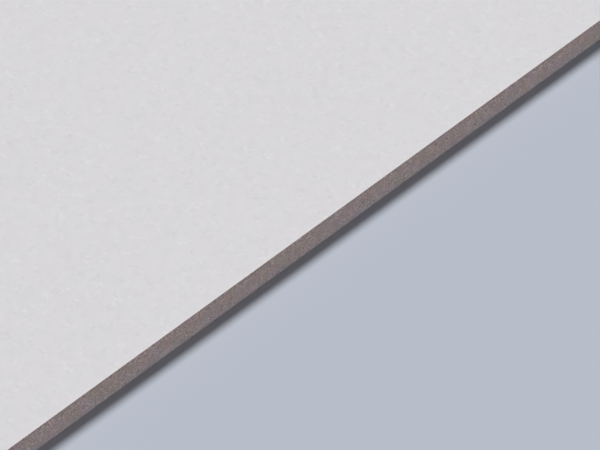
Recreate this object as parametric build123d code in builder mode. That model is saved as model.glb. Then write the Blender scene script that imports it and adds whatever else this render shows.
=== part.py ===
from build123d import *
import os

# A full drywall sheet, lying flat with its face paper up. All sizes are in millimetres.
# X runs along the length, Y across the width and Z up through the thickness.
# The origin is the middle of the back face, which lies in the plane Z = 0.

# Sheet
length = 2438.4
width = 1219.2
thickness = 12.7

# Tapered long edges: the face slopes down to a thinner edge, so that joint tape and
# compound finish level with the rest of the wall.
taper_width = 57.0
taper_depth = 1.5

# The face bends into the taper over a broad, barely visible shoulder.
shoulder_radius = 500.0

# Paper folded round the long edges leaves a small radius on the face side and on the back.
fold_radius = 1.2

half_width = width / 2
edge_height = thickness - taper_depth
shoulder_y = half_width - taper_width

with BuildPart() as drywall_sheet:
    # Cross-section of the board, seen along the length. Sketch X is the width and sketch Y the height.
    with BuildSketch(Plane.YZ) as section:
        with BuildLine():
            Polyline(
                (-half_width, 0),
                (half_width, 0),
                (half_width, edge_height),
                (shoulder_y, thickness),
                (-shoulder_y, thickness),
                (-half_width, edge_height),
                close=True,
            )
        make_face()
        shoulders = section.vertices().group_by(Axis.Y)[-1]
        fillet(shoulders, radius=shoulder_radius)
        across = section.vertices().group_by(Axis.X)
        fillet(across[0] + across[-1], radius=fold_radius)

    # Both ends are sawn square, so the section runs unchanged to each of them.
    extrude(amount=length / 2, both=True)

drywall_sheet.part.label = "drywall_sheet"

os.makedirs("parts", exist_ok=True)
export_step(drywall_sheet.part, "parts/drywall_sheet.step")
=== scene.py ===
import math
import bpy
from mathutils import Matrix, Vector


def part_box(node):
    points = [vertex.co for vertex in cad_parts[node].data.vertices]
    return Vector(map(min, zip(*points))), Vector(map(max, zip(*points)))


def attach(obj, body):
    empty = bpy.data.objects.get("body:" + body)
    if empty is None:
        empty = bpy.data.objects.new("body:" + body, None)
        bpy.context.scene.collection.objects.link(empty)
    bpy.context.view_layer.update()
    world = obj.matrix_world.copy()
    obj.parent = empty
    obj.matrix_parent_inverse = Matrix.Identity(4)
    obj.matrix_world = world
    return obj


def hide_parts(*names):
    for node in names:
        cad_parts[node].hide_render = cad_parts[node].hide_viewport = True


# A full drywall sheet lying flat with its face paper up. Metres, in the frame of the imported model:
# X along the length, Y across the width, Z up from the back face.

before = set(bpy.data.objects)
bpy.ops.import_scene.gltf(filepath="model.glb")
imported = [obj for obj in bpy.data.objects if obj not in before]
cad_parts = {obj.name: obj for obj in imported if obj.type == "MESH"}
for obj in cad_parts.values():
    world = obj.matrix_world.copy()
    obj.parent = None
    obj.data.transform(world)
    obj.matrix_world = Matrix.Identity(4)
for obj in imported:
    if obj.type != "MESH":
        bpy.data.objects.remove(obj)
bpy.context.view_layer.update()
sheetNode = "drywall_sheet"
low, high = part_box(sheetNode)
extent = high - low
print("Frame loaded, sheet size:", [round(v, 4) for v in extent])


# Node helpers

def feed(tree, value, socket):
    # a socket is wired to the next one, anything else is typed in
    if isinstance(value, bpy.types.NodeSocket):
        tree.links.new(value, socket)
    else:
        socket.default_value = value


def addNode(tree, kind, inputs=None, **settings):
    node = tree.nodes.new(kind)
    for name, value in settings.items():
        setattr(node, name, value)
    for name, value in (inputs or {}).items():
        feed(tree, value, node.inputs[name])
    return node


def calc(tree, operation, *values):
    node = addNode(tree, "ShaderNodeMath", operation=operation)
    for value, socket in zip(values, node.inputs):
        feed(tree, value, socket)
    return node.outputs[0]


def maths(tree, *operations):
    # one short function for each operation, all in the same tree
    def named(operation):
        return lambda *values: calc(tree, operation, *values)
    return [named(operation) for operation in operations]


def ramp(tree, value, start, end, startValue, endValue):
    # runs straight from startValue to endValue and stays level outside
    inputs = {"Value": value, "From Min": start, "From Max": end, "To Min": startValue, "To Max": endValue}
    return addNode(tree, "ShaderNodeMapRange", inputs).outputs["Result"]


def noise(tree, vector, size, detail=2.0, roughness=0.5):
    # size is that of one blotch, in metres
    scale = calc(tree, "DIVIDE", 1.0, size)
    inputs = {"Vector": vector, "Scale": scale, "Detail": detail, "Roughness": roughness}
    return addNode(tree, "ShaderNodeTexNoise", inputs).outputs[0]


def moved(tree, vector, operation, by):
    return addNode(tree, "ShaderNodeVectorMath", {0: vector, 1: by}, operation=operation).outputs[0]


def joined(tree, x, y, z):
    return addNode(tree, "ShaderNodeCombineXYZ", {"X": x, "Y": y, "Z": z}).outputs[0]


def split(tree, vector):
    return addNode(tree, "ShaderNodeSeparateXYZ", {"Vector": vector}).outputs


def newTree(name, kind, inputs, outputs):
    # inputs and outputs: the type of each socket by its name
    tree = bpy.data.node_groups.new(name, kind)
    for direction, sockets in (("INPUT", inputs), ("OUTPUT", outputs)):
        for label, socketType in sockets.items():
            tree.interface.new_socket(name=label, in_out=direction, socket_type=socketType)
    return tree, tree.nodes.new("NodeGroupInput").outputs, tree.nodes.new("NodeGroupOutput").inputs


# Papers and core

patchRim = (0.37, 0.63)  # noise values from outside a patch to well inside it
fleckRim = (0.5, 0.62)  # the same for the flecked spots of the paper
cloudRange = (0.3, 0.7)  # nearly all of a noise's values lie in here
grainRelief = 0.6  # how much of the paper's relief is grain
fibreRelief = 0.4  # and how much is fibres

paperInputs = (
    "Tint Size", "Grain Size", "Grain Share", "Fleck Size", "Fleck Share",
    "Fibre Length", "Fibre Width", "Fibre Share",
    "Mottle Size", "Mottle Share", "Cloud Size", "Cloud Share",
)


def opaque(colour):
    return tuple(colour) + (1.0,)


def blendColour(tree, factor, first, second):
    # a Mix node keeps its colour sockets behind those for numbers and vectors
    node = addNode(tree, "ShaderNodeMix", data_type="RGBA")
    for value, socket in ((factor, 0), (first, 6), (second, 7)):
        feed(tree, value, node.inputs[socket])
    return node.outputs[2]


def weigh(tree, pairs):
    # adds up noises, each centred on zero and times its own share
    total = 0.0
    for value, share in pairs:
        total = calc(tree, "MULTIPLY_ADD", calc(tree, "SUBTRACT", value, 0.5), share, total)
    return total


def pressedPaperGroup():
    # pressed paper: tinted patches, grain that is stronger in flecked spots, short fibres drawn out
    # along the sheet, mottling and slow clouding; Lift is how much lighter they make each spot
    inputs = {"Vector": "NodeSocketVector", "Colour": "NodeSocketColor", "Tint": "NodeSocketColor"}
    inputs.update({label: "NodeSocketFloat" for label in paperInputs})
    outputs = {"Colour": "NodeSocketColor"}
    outputs.update({label: "NodeSocketFloat" for label in ("Lift", "Cloud", "Height")})
    tree, given, result = newTree("pressedPaper", "ShaderNodeTree", inputs, outputs)
    where = given["Vector"]
    tinted = ramp(tree, noise(tree, where, given["Tint Size"]), *patchRim, 0.0, 1.0)
    feed(tree, blendColour(tree, tinted, given["Colour"], given["Tint"]), result["Colour"])

    squeeze = calc(tree, "DIVIDE", given["Fibre Width"], given["Fibre Length"])
    drawn = moved(tree, where, "MULTIPLY", joined(tree, squeeze, 1.0, 1.0))
    grain = noise(tree, where, given["Grain Size"], roughness=0.6)
    fibre = noise(tree, drawn, given["Fibre Width"], detail=1.0)
    mottle = noise(tree, where, given["Mottle Size"], detail=3.0, roughness=0.7)
    cloud = noise(tree, where, given["Cloud Size"], detail=3.0)
    flecked = noise(tree, where, given["Fleck Size"])
    grainShare = ramp(tree, flecked, *fleckRim, given["Grain Share"], given["Fleck Share"])
    lift = weigh(tree, [
        (grain, grainShare),
        (fibre, given["Fibre Share"]),
        (mottle, given["Mottle Share"]),
        (cloud, given["Cloud Share"]),
    ])
    feed(tree, lift, result["Lift"])
    feed(tree, cloud, result["Cloud"])
    grainHeight = calc(tree, "MULTIPLY", grain, grainRelief)
    feed(tree, calc(tree, "MULTIPLY_ADD", fibre, fibreRelief, grainHeight), result["Height"])
    return tree


pressedPaper = pressedPaperGroup()


def newMaterial(name):
    material = bpy.data.materials.new(name)
    material.use_nodes = True
    tree = material.node_tree
    where = tree.nodes.new("ShaderNodeTexCoord").outputs["Object"]
    return material, tree, tree.nodes["Principled BSDF"], where


def cast(tree, colour, share, swing):
    # shifts the colour by swing, as far as the share says at each spot
    inputs = {0: share, 1: swing, 2: colour}
    return addNode(tree, "ShaderNodeVectorMath", inputs, operation="MULTIPLY_ADD").outputs[0]


def brighten(tree, colour, amount):
    # amount is the share by which the colour gets lighter, or darker below zero
    node = addNode(tree, "ShaderNodeVectorMath", {0: colour}, operation="SCALE")
    feed(tree, calc(tree, "ADD", amount, 1.0), node.inputs["Scale"])
    return node.outputs[0]


def finish(tree, shader, look, height):
    shader.inputs["Specular IOR Level"].default_value = look["specular"]
    inputs = {"Height": height, "Strength": look["bumpStrength"], "Distance": look["bumpDepth"]}
    feed(tree, addNode(tree, "ShaderNodeBump", inputs).outputs["Normal"], shader.inputs["Normal"])


def makePaper(name, look):
    material, tree, shader, where = newMaterial(name)
    inputs = {label: look[label] for label in paperInputs}
    inputs.update({"Vector": where, "Colour": opaque(look["colour"]), "Tint": opaque(look["tint"])})
    paper = addNode(tree, "ShaderNodeGroup", inputs, node_tree=pressedPaper).outputs
    colour = paper["Colour"]
    if "paintedHighlight" in look:
        # painted highlight: the paper is painted paler along each sawn end, where the arris would catch
        # the light
        start, end = (high.x - width for width in look["paintedHighlightWidth"])
        paintedHighlight = ramp(tree, calc(tree, "ABSOLUTE", split(tree, where)["X"]), start, end, 0.0, 1.0)
        colour = blendColour(tree, paintedHighlight, colour, opaque(look["paintedHighlight"]))
    feed(tree, brighten(tree, colour, paper["Lift"]), shader.inputs["Base Color"])
    feed(tree, ramp(tree, paper["Cloud"], *cloudRange, *look["roughness"]), shader.inputs["Roughness"])
    finish(tree, shader, look, paper["Height"])
    return material


facePaperLook = {
    "colour": (0.6895, 0.667, 0.6909),
    "tint": (0.6735, 0.6723, 0.6901),  # slightly greener patches
    "Tint Size": 0.014,
    "Grain Size": 0.002,
    "Grain Share": 0.0,  # a share is the spread in lightness, from darkest to palest, that its noise gives
    "Fleck Size": 0.006,  # of a flecked spot
    "Fleck Share": 0.3,  # the grain's share in such a spot
    "Fibre Length": 0.006,
    "Fibre Width": 0.0008,
    "Fibre Share": 0.03,
    "Mottle Size": 0.0045,
    "Mottle Share": 0.125,
    "Cloud Size": 0.09,
    "Cloud Share": 0.035,
    # painted highlight: a paler paper colour along the arris of each sawn end
    "paintedHighlight": (0.712, 0.681, 0.693),
    "paintedHighlightWidth": (0.0016, 0.0008),  # from a sawn end: where the painted highlight begins and where it is full
    "roughness": (0.82, 0.9),
    "specular": 0.2,
    "bumpStrength": 0.25,
    "bumpDepth": 0.00006,
}
facePaper = makePaper("facePaper", facePaperLook)

backLinerLook = {
    "colour": (0.400, 0.352, 0.292),
    "tint": (0.378, 0.340, 0.290),
    "Tint Size": 0.03,
    "Grain Size": 0.0012,
    "Grain Share": 0.2,
    "Fleck Size": 0.008,
    "Fleck Share": 0.35,
    "Fibre Length": 0.009,
    "Fibre Width": 0.0007,
    "Fibre Share": 0.3,
    "Mottle Size": 0.01,
    "Mottle Share": 0.2,
    "Cloud Size": 0.14,
    "Cloud Share": 0.15,
    "roughness": (0.86, 0.95),
    "specular": 0.2,
    "bumpStrength": 0.4,
    "bumpDepth": 0.0001,
}
backLiner = makePaper("backLiner", backLinerLook)

cutCoreLook = {
    "colour": (0.2505, 0.201, 0.1945),
    "pinkCast": (0.0056, -0.0027, 0.0029),  # added in some patches and taken away in others
    "blueCast": (-0.0012, 0.0, 0.0088),
    "blueOffset": (0.31, 0.17, 0.23),  # so that the bluer patches aren't the pinker ones
    "patchSize": 0.007,
    "paintedBounce": (0.0092, 0.024, 0.038),  # painted bounce light: the core is painted a paler, bluer grey towards the back, next to the floor
    "paintedBounceRise": (0.001, 0.006),  # heights where that is full and where it ends
    "grainSize": 0.0007,
    "grainShare": (0.75, 2.7),  # in the calmest and in the grittiest places
    "grainRim": (0.4, 0.6),  # mottle values of those places
    "mottleSize": 0.005,
    "mottleShare": 0.33,
    "poreSize": 0.0022,  # from one air bubble to the next
    "poreRim": (0.08, 0.2),  # in shares of poreSize: where a bubble is full dark and where it ends
    "poreShade": 0.32,  # how much darker it is
    "skinDepth": (0.0014, 0.0024),  # the core is denser and a little darker under the face paper
    "skinShade": 0.085,
    "tornDepth": (0.0025, 0.005),  # the saw tears it more there, less and less between these depths
    "tornShare": 0.33,  # how much grittier that makes it
    "paperRim": (0.00027, 0.00033),  # depths over which the cut edge of the paper turns into core
    "paperLift": 0.45,  # how much paler that edge is
    "roughness": 0.95,
    "specular": 0.15,
    "bumpStrength": 0.5,
    "bumpDepth": 0.00015,
}


def makeCore(look):
    # sawn gypsum: gritty, with slightly pinker and bluer patches and small dark air bubbles
    material, tree, shader, where = newMaterial("cutCore")
    add, sub, mul = maths(tree, "ADD", "SUBTRACT", "MULTIPLY")
    grain = noise(tree, where, look["grainSize"], roughness=0.65)
    mottle = noise(tree, where, look["mottleSize"])
    height = split(tree, where)["Z"]

    colour = look["colour"]
    elsewhere = moved(tree, where, "ADD", look["blueOffset"])
    for spot, swing in ((where, look["pinkCast"]), (elsewhere, look["blueCast"])):
        patch = noise(tree, spot, look["patchSize"], detail=1.0)
        colour = cast(tree, colour, ramp(tree, patch, *patchRim, -1.0, 1.0), swing)
    # painted bounce light from the floor: paler and bluer towards the back
    colour = cast(tree, colour, ramp(tree, height, *look["paintedBounceRise"], 1.0, 0.0), look["paintedBounce"])

    bubbles = addNode(tree, "ShaderNodeTexVoronoi", {"Vector": where, "Scale": 1.0 / look["poreSize"]})
    pore = ramp(tree, bubbles.outputs["Distance"], *look["poreRim"], 1.0, 0.0)
    depth = addNode(tree, "ShaderNodeAttribute", attribute_name="inset", attribute_type="GEOMETRY")
    inset = depth.outputs["Fac"]
    isUpper = calc(tree, "GREATER_THAN", height, extent.z / 2)
    skin = mul(ramp(tree, inset, *look["skinDepth"], look["skinShade"], 0.0), isUpper)
    torn = mul(ramp(tree, inset, *look["tornDepth"], look["tornShare"], 0.0), isUpper)
    paper = ramp(tree, inset, *look["paperRim"], look["paperLift"], 0.0)
    grit = ramp(tree, mottle, *look["grainRim"], *look["grainShare"])
    rough = mul(sub(weigh(tree, [(grain, grit)]), mul(pore, look["poreShade"])), add(torn, 1.0))
    lift = add(rough, weigh(tree, [(mottle, look["mottleShare"])]))
    lift = sub(add(lift, paper), skin)
    feed(tree, brighten(tree, colour, lift), shader.inputs["Base Color"])
    shader.inputs["Roughness"].default_value = look["roughness"]
    finish(tree, shader, look, sub(grain, pore))
    return material


cutCore = makeCore(cutCoreLook)
print("Papers and core made")


# The sheet

sheet = {
    "Length": extent.x,
    "Width": extent.y,
    "Thickness": extent.z,
    "Taper Width": 0.057,
    "Taper Depth": 0.0015,
    "Shoulder Radius": 0.5,
    "Fold Radius": 0.0012,
    "Fold Rows": 4,  # round each fold; the outermost row is one paper thick
    "Core Rows": 10,
    "Field Columns": 1520,
    "Stations": 6,  # along the length
    "Lap Width": 0.022,  # face paper turned under each long edge
    "Lap Step": 0.0003,
    "Lap Slope": 0.0004,  # width over which the step rises
    "Grain Size": 0.0016,
    "Grain Depth": 0.00025,
    "Grain Softness": 0.7,  # share of the depth in soft dips; the rest is grit, point by point
    "Crisp Angle": 0.6,  # radians: a sharper turn than this is an arris
    "Seed": 11,
    "Face Paper": facePaper,
    "Cut Core": cutCore,
    "Back Liner": backLiner,
}

blockEnd = 0.4999  # a unit block's ends stand at 0.5
paperMargin = 1.05  # points at just one paper's depth still belong to the paper
mostly = 0.5  # a normal with more than this of an axis points that way


def sheetTree():
    whole = ("Fold Rows", "Core Rows", "Field Columns", "Stations", "Seed")
    covers = ("Face Paper", "Cut Core", "Back Liner")
    kinds = {name: "NodeSocketInt" for name in whole}
    kinds.update({name: "NodeSocketMaterial" for name in covers})
    inputs = {"Geometry": "NodeSocketGeometry"}
    inputs.update({name: kinds.get(name, "NodeSocketFloat") for name in sheet})
    outputs = {"Geometry": "NodeSocketGeometry"}
    tree, given, result = newTree("sheetShape", "GeometryNodeTree", inputs, outputs)
    add, sub, mul, div = maths(tree, "ADD", "SUBTRACT", "MULTIPLY", "DIVIDE")
    atLeast, atMost, isOver, size = maths(tree, "MAXIMUM", "MINIMUM", "GREATER_THAN", "ABSOLUTE")

    def signed(value, like):
        return mul(calc(tree, "SIGN", like), value)

    def live(sockets, name):
        # a node keeps one socket of this name for each data type, and shows one
        return next(socket for socket in sockets if socket.name == name and socket.enabled)

    # a unit block, cut into stations, columns and rows
    columns = add(given["Field Columns"], mul(given["Fold Rows"], 2))
    rows = add(given["Core Rows"], mul(given["Fold Rows"], 2))
    block = addNode(tree, "GeometryNodeMeshCube", {"Size": (1.0, 1.0, 1.0)})
    for label, count in (("Vertices X", given["Stations"]), ("Vertices Y", columns), ("Vertices Z", rows)):
        feed(tree, add(count, 1), block.inputs[label])
    alongX, acrossY, upZ = split(tree, tree.nodes.new("GeometryNodeInputPosition").outputs[0])

    # distance from the middle line: the field first, then the fold
    half = mul(given["Width"], 0.5)
    fold = given["Fold Radius"]
    foldShareY = sub(1.0, div(mul(given["Fold Rows"], 2), columns))
    shareY = mul(size(acrossY), 2.0)
    out = ramp(tree, shareY, 0.0, foldShareY, 0.0, sub(half, fold))
    out = add(out, ramp(tree, shareY, foldShareY, 1.0, 0.0, fold))

    # the face drops into the taper over a round shoulder, then runs straight to the edge
    slope = div(given["Taper Depth"], given["Taper Width"])
    reach = mul(mul(given["Shoulder Radius"], slope), 0.5)
    past = sub(out, sub(half, given["Taper Width"]))
    bend = atMost(atLeast(add(past, reach), 0.0), mul(reach, 2.0))
    bendDrop = div(mul(bend, bend), mul(given["Shoulder Radius"], 2.0))
    straightDrop = mul(atLeast(sub(past, reach), 0.0), slope)
    top = sub(sub(given["Thickness"], bendDrop), straightDrop)

    # on the back, the liner stands one paper proud of the turned-under face paper
    lapLine = sub(half, given["Lap Width"])
    bottom = ramp(tree, out, lapLine, add(lapLine, given["Lap Slope"]), 0.0, given["Lap Step"])

    # height: fold rows, core rows, fold rows
    foldShareZ = div(given["Fold Rows"], rows)
    upperShareZ = sub(1.0, foldShareZ)
    shareZ = add(upZ, 0.5)
    coreHeight = sub(sub(top, bottom), mul(fold, 2.0))
    rise = add(bottom, ramp(tree, shareZ, 0.0, foldShareZ, 0.0, fold))
    rise = add(rise, ramp(tree, shareZ, foldShareZ, upperShareZ, 0.0, coreHeight))
    rise = add(rise, ramp(tree, shareZ, upperShareZ, 1.0, 0.0, fold))

    # depth below the nearest outer surface, before the folds are rounded
    above = sub(rise, bottom)
    below = sub(top, rise)
    inset = atMost(atMost(above, below), sub(half, out))

    # each corner square is pressed into a quarter disc
    cornerY = atLeast(sub(out, sub(half, fold)), 0.0)
    cornerUp = atLeast(sub(fold, below), 0.0)
    cornerDown = atLeast(sub(fold, above), 0.0)
    cornerZ = atLeast(cornerUp, cornerDown)
    diagonal = calc(tree, "SQRT", add(mul(cornerY, cornerY), mul(cornerZ, cornerZ)))
    press = sub(1.0, div(atLeast(cornerY, cornerZ), diagonal))
    roundY = sub(out, mul(cornerY, press))
    roundZ = add(sub(rise, mul(cornerUp, press)), mul(cornerDown, press))

    # the saw leaves the core a little lower than the paper, and gritty
    paperThick = div(fold, given["Fold Rows"])
    isSawn = mul(isOver(size(alongX), blockEnd), isOver(inset, mul(paperThick, paperMargin)))
    spot = joined(tree, alongX, signed(out, acrossY), rise)
    grit = addNode(tree, "FunctionNodeRandomValue", data_type="FLOAT")
    feed(tree, given["Seed"], grit.inputs["Seed"])
    dips = noise(tree, spot, given["Grain Size"], detail=1.0)
    softness = given["Grain Softness"]
    rough = add(mul(dips, softness), mul(live(grit.outputs, "Value"), sub(1.0, softness)))
    endX = sub(mul(size(alongX), given["Length"]), mul(mul(rough, given["Grain Depth"]), isSawn))
    shaped = joined(tree, signed(endX, alongX), signed(roundY, acrossY), roundZ)

    # the depth is kept for the colour of the sawn ends
    kept = {"Geometry": block.outputs["Mesh"], "Name": "inset"}
    mark = addNode(tree, "GeometryNodeStoreNamedAttribute", kept, data_type="FLOAT", domain="POINT")
    feed(tree, inset, live(mark.inputs, "Value"))
    body = addNode(tree, "GeometryNodeSetPosition", {"Geometry": mark.outputs[0], "Position": shaped})

    # which faces are sawn end, back liner and face paper
    facing = split(tree, tree.nodes.new("GeometryNodeInputNormal").outputs[0])
    lies = split(tree, tree.nodes.new("GeometryNodeInputPosition").outputs[0])
    isEnd = isOver(size(facing["X"]), mostly)
    isBack = mul(isOver(mul(facing["Z"], -1.0), mostly), isOver(lapLine, size(lies["Y"])))

    # smooth paper, flat sawn ends and a crisp arris between the two
    soft = addNode(tree, "GeometryNodeSetShadeSmooth", {0: body.outputs[0]})
    feed(tree, sub(1.0, isEnd), soft.inputs["Shade Smooth"])
    crisp = addNode(tree, "GeometryNodeSetShadeSmooth", {0: soft.outputs[0]}, domain="EDGE")
    turn = tree.nodes.new("GeometryNodeInputMeshEdgeAngle").outputs["Unsigned Angle"]
    feed(tree, isOver(turn, given["Crisp Angle"]), crisp.inputs["Selection"])
    crisp.inputs["Shade Smooth"].default_value = False

    covered = addNode(tree, "GeometryNodeRealizeInstances", {0: crisp.outputs[0]}).outputs[0]
    for label, chosen in (("Face Paper", True), ("Back Liner", isBack), ("Cut Core", isEnd)):
        cover = addNode(tree, "GeometryNodeSetMaterial", {"Geometry": covered, "Selection": chosen})
        feed(tree, given[label], cover.inputs["Material"])
        covered = cover.outputs[0]
    feed(tree, covered, result["Geometry"])
    return tree


def makeSheet():
    holder = bpy.data.objects.new("sheetHolder", bpy.data.meshes.new("sheetHolder"))
    bpy.context.collection.objects.link(holder)
    modifier = holder.modifiers.new("sheetShape", "NODES")
    tree = sheetTree()
    modifier.node_group = tree
    for socket in tree.interface.items_tree:
        if socket.in_out == "INPUT" and socket.name in sheet:
            modifier[socket.identifier] = sheet[socket.name]
    depsgraph = bpy.context.evaluated_depsgraph_get()
    mesh = bpy.data.meshes.new_from_object(holder.evaluated_get(depsgraph), depsgraph=depsgraph)
    bpy.data.objects.remove(holder)
    if mesh.materials[0] is None:
        mesh.materials.pop(index=0)  # the block's own empty slot
    mesh.name = "drywallSheet"
    piece = bpy.data.objects.new("drywallSheet", mesh)
    bpy.context.collection.objects.link(piece)
    return piece


drywallSheet = makeSheet()
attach(drywallSheet, "root")
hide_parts(sheetNode)
print("Sheet made:", len(drywallSheet.data.polygons), "faces")


# Studio

studio = {
    "floorColour": (0.479, 0.515, 0.584),
    "floorRoughness": 0.95,
    "floorHalf": 60.0,  # half the side of the square floor
    "floorDrop": 0.0002,  # below the sheet's back
    "fadeStart": 5.0,  # from here out the floor turns into backdrop
    "fadeEnd": 25.0,
    "skyColour": (1.0, 1.0, 1.0),
    "sky": 0.05,
    # two suns: strength in watts per square metre, angles in degrees, spread is how wide each looks
    "key": {"strength": 3.09, "azimuth": 239.0, "elevation": 63.0, "spread": 20.5},
    "fill": {"strength": 2.2, "azimuth": 62.0, "elevation": 6.0, "spread": 8.0},
}


def seenByEye(tree):
    # camera rays, and those that gloss or glass sends on
    path = tree.nodes.new("ShaderNodeLightPath").outputs
    gloss = calc(tree, "MAXIMUM", path["Is Glossy Ray"], path["Is Transmission Ray"])
    return calc(tree, "MAXIMUM", path["Is Camera Ray"], gloss)


def mixInto(tree, factor, first, second, outlet):
    mix = addNode(tree, "ShaderNodeMixShader", {0: factor, 1: first, 2: second})
    feed(tree, mix.outputs[0], outlet.inputs["Surface"])


def makeFloor():
    half = studio["floorHalf"]
    z = low.z - studio["floorDrop"]
    corners = [(x * half, y * half, z) for x, y in ((-1, -1), (1, -1), (1, 1), (-1, 1))]
    mesh = bpy.data.meshes.new("floor")
    mesh.from_pydata(corners, [], [(0, 1, 2, 3)])
    floor = bpy.data.objects.new("floor", mesh)
    bpy.context.collection.objects.link(floor)
    material, tree, shader, where = newMaterial("floorPaint")
    shader.inputs["Base Color"].default_value = opaque(studio["floorColour"])
    shader.inputs["Roughness"].default_value = studio["floorRoughness"]
    shader.inputs["Specular IOR Level"].default_value = 0.0
    away = addNode(tree, "ShaderNodeVectorMath", {0: where}, operation="LENGTH").outputs["Value"]
    far = ramp(tree, away, studio["fadeStart"], studio["fadeEnd"], 0.0, 1.0)
    backdrop = addNode(tree, "ShaderNodeEmission", {"Color": opaque(studio["floorColour"])})
    share = calc(tree, "MULTIPLY", far, seenByEye(tree))
    mixInto(tree, share, shader.outputs[0], backdrop.outputs[0], tree.nodes["Material Output"])
    mesh.materials.append(material)


def makeSky():
    world = bpy.data.worlds.new("studioSky")
    world.use_nodes = True
    tree = world.node_tree
    light = tree.nodes["Background"]
    light.inputs["Color"].default_value = opaque(studio["skyColour"])
    light.inputs["Strength"].default_value = studio["sky"]
    backdrop = addNode(tree, "ShaderNodeBackground", {"Color": opaque(studio["floorColour"])})
    mixInto(tree, seenByEye(tree), light.outputs[0], backdrop.outputs[0], tree.nodes["World Output"])
    bpy.context.scene.world = world


def axesAt(azimuth, elevation):
    # right, up and back of someone who stands at those degrees and looks at the origin:
    # azimuth 0 is on the -Y side and 90 on the +X side
    a = math.radians(azimuth)
    e = math.radians(elevation)
    right = Vector((math.cos(a), math.sin(a), 0.0))
    back = Vector((math.sin(a) * math.cos(e), -math.cos(a) * math.cos(e), math.sin(e)))
    return right, back.cross(right), back


def turned(azimuth, elevation):
    return Matrix(axesAt(azimuth, elevation)).transposed().to_4x4()


def makeSun(name, look):
    data = bpy.data.lights.new(name, "SUN")
    data.energy = look["strength"]
    data.angle = math.radians(look["spread"])
    lamp = bpy.data.objects.new(name, data)
    lamp.matrix_world = turned(look["azimuth"], look["elevation"])
    bpy.context.collection.objects.link(lamp)


makeFloor()
makeSky()
makeSun("keyLight", studio["key"])
makeSun("fillLight", studio["fill"])
print("Studio made")


# Camera: beyond the +X end and the -Y edge, looking down along the length and across the width

camera = {
    "azimuth": 45.02,
    "elevation": 46.304,
    "distance": 1.6268,
    "lens": 224.0,
    "aimUp": 0.00551,  # the sawn end's top edge passes this far below the middle of the picture
    "aimY": 0.0,
    "clipStart": 0.05,
    "clipEnd": 200.0,
}


def makeCamera():
    up, back = axesAt(camera["azimuth"], camera["elevation"])[1:]
    target = Vector((high.x, camera["aimY"], high.z)) + up * camera["aimUp"]
    place = Matrix.Translation(target + back * camera["distance"])
    data = bpy.data.cameras.new("photoCamera")
    data.lens = camera["lens"]
    data.clip_start = camera["clipStart"]
    data.clip_end = camera["clipEnd"]
    eye = bpy.data.objects.new("photoCamera", data)
    eye.matrix_world = place @ turned(camera["azimuth"], camera["elevation"])
    bpy.context.collection.objects.link(eye)
    bpy.context.scene.camera = eye


makeCamera()
bpy.context.scene.view_settings.view_transform = "Standard"
print("Camera set")
